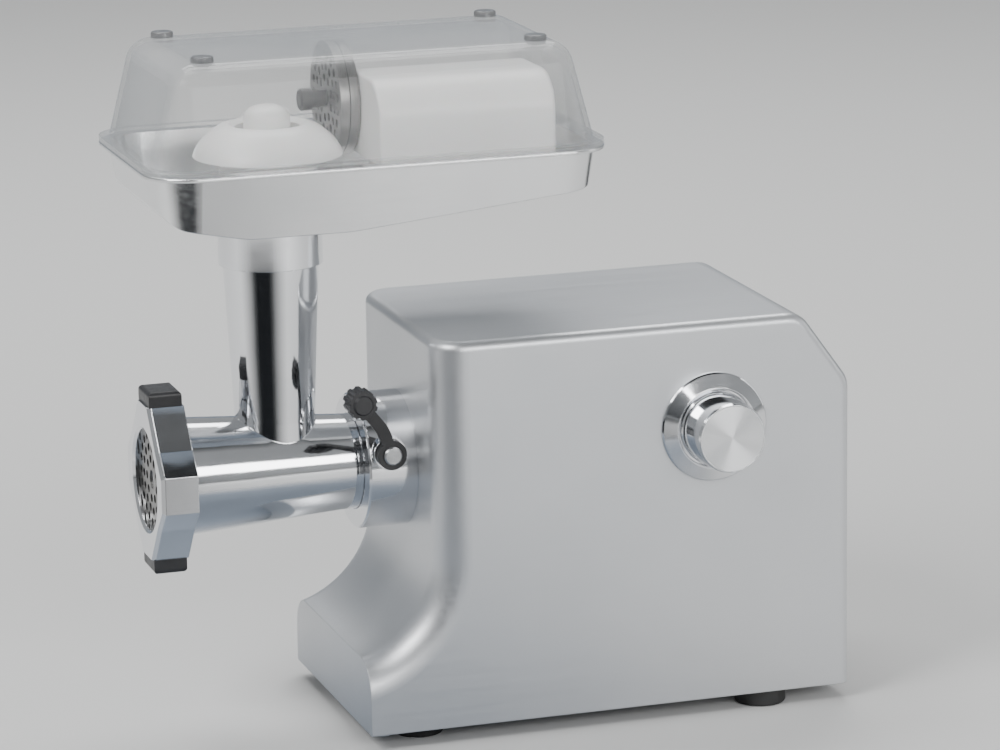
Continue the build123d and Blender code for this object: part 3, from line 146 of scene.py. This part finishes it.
def dark_card(name, centre, start, end, distance, low, high, grey=0.02):
    """A curved dark card round centre (x, y) between two azimuths, seen only in reflections."""
    middle = low + (high - low) * CARD_TOP_FADE
    points = []
    fades = []
    for step in range(CARD_STEPS + 1):
        share = step / CARD_STEPS
        out = Vector((*centre, 0)) + toward(start + (end - start) * share) * distance
        points += [(out.x, out.y, height) for height in (low, middle, high)]
        inside = min(1, CARD_SIDE_FADE * share, CARD_SIDE_FADE * (1 - share))
        fades += [inside, inside, 0]
    faces = []
    for step in range(CARD_STEPS):
        for row in (0, 1):
            corner = 3 * step + row
            faces.append((corner, corner + 3, corner + 4, corner + 1))
    show_only_in_metal(add_mesh(name, points, faces, card_material(name, grey)), fades)


def floor_card(name, centre, radius, grey):
    """A round grey card just over the floor round centre (x, y), seen only in reflections."""
    height = FLOOR_HEIGHT + DISC_LIFT
    points = [(*centre, height)]
    fades = [1]
    for share, fade in ((0.5, 1), (1, 0)):
        for corner in range(DISC_STEPS):
            out = toward(360 * corner / DISC_STEPS) * radius * share
            points.append((centre[0] + out.x, centre[1] + out.y, height))
            fades.append(fade)
    faces = []
    for corner in range(DISC_STEPS):
        inner = 1 + corner
        inner_next = 1 + (corner + 1) % DISC_STEPS
        faces.append((0, inner, inner_next))
        faces.append((inner, inner + DISC_STEPS, inner_next + DISC_STEPS, inner_next))
    show_only_in_metal(add_mesh(name, points, faces, card_material(name, grey)), fades)


def soft_box(name, azimuth, elevation, distance, size, power):
    """A soft box of size (metres) and power (watts), seen at azimuth and elevation and aimed back."""
    lamp = bpy.data.lights.new(name, "AREA")
    lamp.shape = "RECTANGLE"
    lamp.size, lamp.size_y = size
    lamp.energy = power
    light = bpy.data.objects.new(name, lamp)
    bpy.context.scene.collection.objects.link(light)
    out = toward(azimuth, elevation)
    light.location = MIDDLE + out * distance
    light.rotation_euler = out.to_track_quat("Z", "Y").to_euler()


def make_world():
    """A grey room with a dark band high up, which gives the barrel its long dark streak."""
    world = bpy.data.worlds.new("studio")
    bpy.context.scene.world = world
    world.use_nodes = True
    tree = world.node_tree
    place = tree.nodes.new("ShaderNodeTexCoord")
    split = tree.nodes.new("ShaderNodeSeparateXYZ")
    ramp = tree.nodes.new("ShaderNodeValToRGB")
    tree.links.new(place.outputs["Generated"], split.inputs[0])
    tree.links.new(split.outputs["Z"], ramp.inputs["Fac"])
    tree.links.new(ramp.outputs["Color"], tree.nodes["Background"].inputs["Color"])
    for height, _ in ROOM_STOPS[1:-1]:
        ramp.color_ramp.elements.new(height)
    for element, (height, grey) in zip(ramp.color_ramp.elements, ROOM_STOPS):
        element.position = height
        element.color = (grey * 0.95, grey * 0.98, grey, 1)
    tree.nodes["Background"].inputs["Strength"].default_value = ROOM_STRENGTH


def make_lights():
    """A key box at the left, a low wide one in front, a tall one at the right and two behind."""
    soft_box("key", -64, 42, 2.2, (0.9, 1.0), 34)
    soft_box("front", 14, 19, 1.9, (1.5, 0.55), 21)
    soft_box("fill", 80, 16, 2.2, (0.7, 1.4), 5)
    soft_box("top_back", 180, 70, 2.2, (1.8, 0.7), 30)
    soft_box("back", 170, 48, 2.6, (2.0, 0.6), 22)


def make_cards():
    """Cards that polished metal reflects: on the throat, the bezel, the rear and the underside."""
    dark_card("card_throat", THROAT, -92, 22, 0.40, 0.0, 0.22, 0.01)
    dark_card("card_throat_edge", THROAT, 92, 116, 0.40, 0.0, 0.30)
    dark_card("card_knob", KNOB, -76, -10, 1.1, 0.20, 1.5)
    dark_card("card_back", (0, 0), 100, 225, 1.9, 0.0, 0.8, 0.22)
    floor_card("card_floor", (-0.22, -0.16), 0.34, 0.22)


# ---------------------------------------------------------------- material building blocks

ROUND_X, ROUND_Y, ROUND_Z = (0, 1, 1), (1, 0, 1), (1, 1, 0)  # masks that leave one axis out
MIX_SHARE, MIX_FIRST, MIX_SECOND = 0, 6, 7  # inputs of a colour Mix node
MIX_COLOR = 2  # its output
NOISE_ROUGHNESS = 0.55
BEVEL_SAMPLES = 4


class Surface:
    """One procedural material: a Principled shader, with helpers for the nodes that feed it."""

    def __init__(self, name, **values):
        self.material = bpy.data.materials.new(name)
        self.material.use_nodes = True
        self.tree = self.material.node_tree
        self.shader = self.tree.nodes["Principled BSDF"]
        self.place = self.add("ShaderNodeTexCoord").outputs["Object"]
        self.normal = None
        for socket, value in values.items():
            self.shader.inputs[socket.replace("_", " ")].default_value = value

    def add(self, kind, **settings):
        """A node of that kind, with its settings."""
        node = self.tree.nodes.new(kind)
        for key, value in settings.items():
            setattr(node, key, value)
        return node

    def link(self, start, end):
        """Joins an output to an input."""
        self.tree.links.new(start, end)

    def noise(self, scale, detail=4.0, distortion=0.0, place=None):
        """Noise with scale (x, y, z) cells in a metre, or the same number along all three."""
        if isinstance(scale, (int, float)):
            scale = (scale, scale, scale)
        mapping = self.add("ShaderNodeMapping")
        mapping.inputs["Scale"].default_value = scale
        self.link(place or self.place, mapping.inputs["Vector"])
        node = self.add("ShaderNodeTexNoise")
        node.inputs["Scale"].default_value = 1.0
        node.inputs["Detail"].default_value = detail
        node.inputs["Roughness"].default_value = NOISE_ROUGHNESS
        node.inputs["Distortion"].default_value = distortion
        self.link(mapping.outputs["Vector"], node.inputs["Vector"])
        return node.outputs["Fac"]

    def spread(self, value, low, high, start=0.3, end=0.7):
        """A value remapped from start..end, where most noise lies, to low..high."""
        node = self.add("ShaderNodeMapRange")
        ends = {"From Min": start, "From Max": end, "To Min": low, "To Max": high}
        for socket, number in ends.items():
            node.inputs[socket].default_value = number
        self.link(value, node.inputs["Value"])
        return node.outputs["Result"]

    def tint(self, value, dark, light, start=0.3, end=0.7):
        """Colour from dark to light as value goes from start to end."""
        node = self.add("ShaderNodeMix", data_type="RGBA")
        node.inputs[MIX_FIRST].default_value = (*dark, 1)
        node.inputs[MIX_SECOND].default_value = (*light, 1)
        self.link(self.spread(value, 0, 1, start, end), node.inputs[MIX_SHARE])
        self.link(node.outputs[MIX_COLOR], self.shader.inputs["Base Color"])

    def rough(self, value, low, high):
        """Roughness between low and high by value."""
        self.link(self.spread(value, low, high), self.shader.inputs["Roughness"])

    def soft_edges(self, radius):
        """Rounds the shading of sharp edges by a radius in metres."""
        node = self.add("ShaderNodeBevel", samples=BEVEL_SAMPLES)
        node.inputs["Radius"].default_value = radius
        self.normal = node.outputs["Normal"]
        self.link(self.normal, self.shader.inputs["Normal"])

    def bump(self, value, height):
        """Relief of that height in metres, on top of what is there already."""
        node = self.add("ShaderNodeBump")
        node.inputs["Strength"].default_value = 1.0
        node.inputs["Distance"].default_value = height
        self.link(value, node.inputs["Height"])
        if self.normal:
            self.link(self.normal, node.inputs["Normal"])
        self.normal = node.outputs["Normal"]
        self.link(self.normal, self.shader.inputs["Normal"])

    def distance_from(self, centre, mask):
        """Distance in metres from the line through centre, along the axis that mask leaves out."""
        move = self.add("ShaderNodeVectorMath", operation="SUBTRACT")
        move.inputs[1].default_value = centre
        self.link(self.place, move.inputs[0])
        flat = self.add("ShaderNodeVectorMath", operation="MULTIPLY")
        flat.inputs[1].default_value = mask
        self.link(move.outputs["Vector"], flat.inputs[0])
        length = self.add("ShaderNodeVectorMath", operation="LENGTH")
        self.link(flat.outputs["Vector"], length.inputs[0])
        return length.outputs["Value"]

    def rings(self, distance, per_metre):
        """Fine uneven rings by distance from a line, as a lathe tool leaves them."""
        combine = self.add("ShaderNodeCombineXYZ")
        self.link(distance, combine.inputs["X"])
        return self.noise((per_metre, 1, 1), detail=3, place=combine.outputs["Vector"])


# ---------------------------------------------------------------- materials


def satin_silver():
    """The housing: fine satin metal with a faint grain that runs along the body."""
    look = Surface("satin_silver", Metallic=0.86, Coat_Weight=0.25, Coat_Roughness=0.32)
    grain = look.noise((9, 620, 620), detail=5)
    cloud = look.noise(7, detail=3)
    look.tint(cloud, (0.60, 0.615, 0.635), (0.66, 0.67, 0.685))
    look.rough(grain, 0.36, 0.44)
    look.soft_edges(0.0008)
    look.bump(grain, 0.000012)
    look.bump(look.noise(1900, detail=2), 0.000010)
    return look.material


def chrome(name, low=0.05, high=0.12, wave=0.00035, color=(0.84, 0.85, 0.87)):
    """Bright polished metal, roughness low to high, with slight waves and fine wipe marks."""
    look = Surface(name, Metallic=1.0)
    look.tint(look.noise(30), tuple(0.94 * part for part in color), color)
    look.rough(look.noise((60, 60, 900), detail=6), low, high)
    look.soft_edges(0.0006)
    look.bump(look.noise(26, detail=1.5), wave)
    look.bump(look.noise((1500, 300, 1500), detail=3), 0.000003)
    return look.material


def turned_metal(name, centre, low, high, dark, light):
    """Metal faced on a lathe: uneven rings round a line along X through its own centre."""
    look = Surface(name, Metallic=1.0, Anisotropic=0.5)
    rings = look.rings(look.distance_from(centre, ROUND_X), 2600)
    look.tint(look.noise(90, detail=5), dark, light)
    look.rough(rings, low, high)
    look.soft_edges(0.0003)
    look.bump(rings, 0.00002)
    return look.material


def brushed_cap():
    """The knob's face: brushed round its centre, so that it shows bright fans of light."""
    low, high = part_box("knob_cap")
    centre = (low + high) / 2
    look = Surface("brushed_cap", Metallic=1.0, Anisotropic=0.92, Anisotropic_Rotation=0.25)
    rings = look.rings(look.distance_from(tuple(centre), ROUND_Y), 5200)
    look.tint(rings, (0.76, 0.77, 0.79), (0.88, 0.89, 0.90))
    look.rough(rings, 0.28, 0.38)
    tangent = look.add("ShaderNodeTangent", direction_type="RADIAL", axis="Y")
    look.link(tangent.outputs["Tangent"], look.shader.inputs["Tangent"])
    look.bump(rings, 0.000006)
    return look.material


def sheet_metal():
    """The hopper tray: bright pressed sheet with the long waves that pressing leaves."""
    look = Surface("sheet_metal", Metallic=1.0)
    look.tint(look.noise(18), (0.82, 0.83, 0.84), (0.90, 0.905, 0.91))
    look.rough(look.noise((40, 700, 500), detail=6), 0.15, 0.25)
    look.soft_edges(0.0008)
    look.bump(look.noise(14, detail=1), 0.0005)
    look.bump(look.noise((60, 1500, 1500), detail=4), 0.000004)
    return look.material


def clear_plastic(name, face_alpha, edge_alpha, dark, light):
    """Clear moulded plastic that is denser where it is seen edge on."""
    look = Surface(name, IOR=1.49, Coat_Weight=0.7, Coat_Roughness=0.03)
    look.tint(look.noise(16), dark, light)
    look.rough(look.noise(45, detail=5), 0.03, 0.08)
    look.bump(look.noise(14, detail=1.5), 0.0004)
    edge = look.add("ShaderNodeLayerWeight")
    edge.inputs["Blend"].default_value = 0.28
    look.link(look.normal, edge.inputs["Normal"])
    alpha = look.spread(edge.outputs["Facing"], face_alpha, edge_alpha, 0.0, 0.9)
    look.link(alpha, look.shader.inputs["Alpha"])
    return look.material


def moulded(name, dark, light, low, high, grain=1400, height=0.00002, **values):
    """Moulded plastic or rubber, roughness low to high, with a fine grain."""
    look = Surface(name, **values)
    look.tint(look.noise(60, detail=5), dark, light)
    look.rough(look.noise(240, detail=4), low, high)
    look.soft_edges(0.0005)
    look.bump(look.noise(grain, detail=3), height)
    return look.material


def white_plastic():
    """Smooth white food-safe plastic with a little light in its depth."""
    return moulded(
        "white_plastic", (0.84, 0.84, 0.825), (0.89, 0.89, 0.88), 0.30, 0.40, 900, 0.000012,
        Subsurface_Weight=0.12, Subsurface_Scale=0.004, IOR=1.49,
    )


def cast_metal():
    """Sand-blasted die casting: a pebbled skin."""
    look = Surface("cast_metal", Metallic=0.85)
    look.tint(look.noise(120, detail=6), (0.36, 0.365, 0.37), (0.50, 0.505, 0.51))
    look.rough(look.noise(300), 0.48, 0.62)
    look.soft_edges(0.0006)
    look.bump(look.noise(700, detail=5), 0.00012)
    return look.material


def ground_steel():
    """Plain steel for screws and shafts, ground and a little dull."""
    look = Surface("ground_steel", Metallic=1.0)
    look.tint(look.noise(200, detail=6), (0.44, 0.445, 0.45), (0.58, 0.585, 0.59))
    look.rough(look.noise((500, 500, 3000), detail=4), 0.26, 0.38)
    look.soft_edges(0.0003)
    look.bump(look.noise((500, 500, 3000), detail=4), 0.000008)
    return look.material


def oiled_gear():
    """Machined gear steel under a film of grease."""
    look = Surface("oiled_gear", Metallic=1.0, Coat_Weight=0.6, Coat_Roughness=0.12)
    film = look.noise(140, detail=6, distortion=0.6)
    look.tint(film, (0.30, 0.28, 0.24), (0.52, 0.52, 0.51))
    look.rough(film, 0.22, 0.42)
    look.soft_edges(0.0002)
    look.bump(look.noise((2600, 400, 400), detail=3), 0.000010)
    return look.material


def sintered_bronze():
    """Porous bearing bronze."""
    look = Surface("sintered_bronze", Metallic=1.0)
    pores = look.noise(2600, detail=2)
    look.tint(look.noise(160, detail=5), (0.42, 0.27, 0.11), (0.58, 0.41, 0.20))
    look.rough(pores, 0.30, 0.52)
    look.soft_edges(0.0003)
    look.bump(pores, 0.00003)
    return look.material


def laminated_iron():
    """Stacked half-millimetre iron sheets, varnished."""
    look = Surface("laminated_iron", Metallic=0.8, Coat_Weight=0.4, Coat_Roughness=0.35)
    sheets = look.noise((2000, 1, 1), detail=2)
    look.tint(sheets, (0.09, 0.09, 0.095), (0.26, 0.255, 0.25))
    look.rough(look.noise(260), 0.40, 0.58)
    look.bump(sheets, 0.00012)
    return look.material


def enamelled_copper():
    """Copper wire lying side by side under amber enamel."""
    look = Surface("enamelled_copper", Metallic=0.9, Coat_Weight=0.8, Coat_Roughness=0.10)
    turns = look.noise((1, 1600, 1600), detail=2)
    look.tint(turns, (0.30, 0.10, 0.035), (0.66, 0.29, 0.12))
    look.rough(look.noise(180), 0.22, 0.36)
    look.bump(turns, 0.00015)
    return look.material


def commutator_copper():
    """Bare copper bars polished by the brushes, with carbon between them."""
    look = Surface("commutator_copper", Metallic=1.0)
    tracks = look.noise((3200, 30, 30), detail=4)
    look.tint(tracks, (0.33, 0.16, 0.09), (0.70, 0.36, 0.21))
    look.rough(tracks, 0.18, 0.36)
    look.bump(tracks, 0.00002)
    return look.material


MATERIALS = {
    "housing": satin_silver(),
    "panel": moulded(
        "panel_plastic", (0.055, 0.055, 0.06), (0.085, 0.085, 0.09), 0.45, 0.58, 1500, 0.00005
    ),
    "rubber": moulded(
        "black_rubber", (0.012, 0.012, 0.012), (0.028, 0.028, 0.028), 0.62, 0.80, 1700, 0.00004
    ),
    "polished": chrome("polished_metal"),
    "knob_face": brushed_cap(),
    "black_plastic": moulded(
        "black_plastic", (0.014, 0.014, 0.015), (0.028, 0.028, 0.030), 0.34, 0.46, 1800, 0.00002
    ),
    "steel": ground_steel(),
    "plate_steel": turned_metal(
        "faced_plate", WORM_AXIS, 0.26, 0.42, (0.22, 0.215, 0.21), (0.36, 0.355, 0.345)
    ),
    "tray": sheet_metal(),
    "clear": clear_plastic("clear_plastic", 0.055, 0.75, (0.42, 0.435, 0.44), (0.52, 0.53, 0.54)),
    "white_plastic": white_plastic(),
    "gearcase": cast_metal(),
    "gear": oiled_gear(),
    "bronze": sintered_bronze(),
    "iron": laminated_iron(),
    "copper": enamelled_copper(),
    "red_plastic": moulded("red_plastic", (0.42, 0.02, 0.016), (0.55, 0.035, 0.028), 0.30, 0.42),
    "carbon": moulded(
        "pressed_carbon", (0.02, 0.02, 0.021), (0.05, 0.05, 0.052), 0.55, 0.75, 1200, 0.00006
    ),
}

# nodes whose finish differs from the rest of their slot
OWN_MATERIALS = {
    "spare_plates": turned_metal(
        "stored_plates", SPARE_PLATE_AXIS, 0.28, 0.44, (0.20, 0.195, 0.19), (0.34, 0.335, 0.325)
    ),
    "commutator": commutator_copper(),
    "lid_bumpers": clear_plastic("smoky_plastic", 0.55, 0.9, (0.10, 0.10, 0.105), (0.16, 0.165, 0.17)),
    "worm": chrome("cast_worm", 0.14, 0.26, 0.0005, (0.70, 0.71, 0.72)),
}


def dress_nodes():
    """Gives every CAD node the finish of its slot, or its own."""
    for name, piece in nodes.items():
        material = OWN_MATERIALS.get(name) or MATERIALS[node_slots[name]]
        for place in piece.material_slots:
            place.material = material


# ---------------------------------------------------------------- scene

make_camera()
make_floor()
make_world()
make_lights()
make_cards()
dress_nodes()
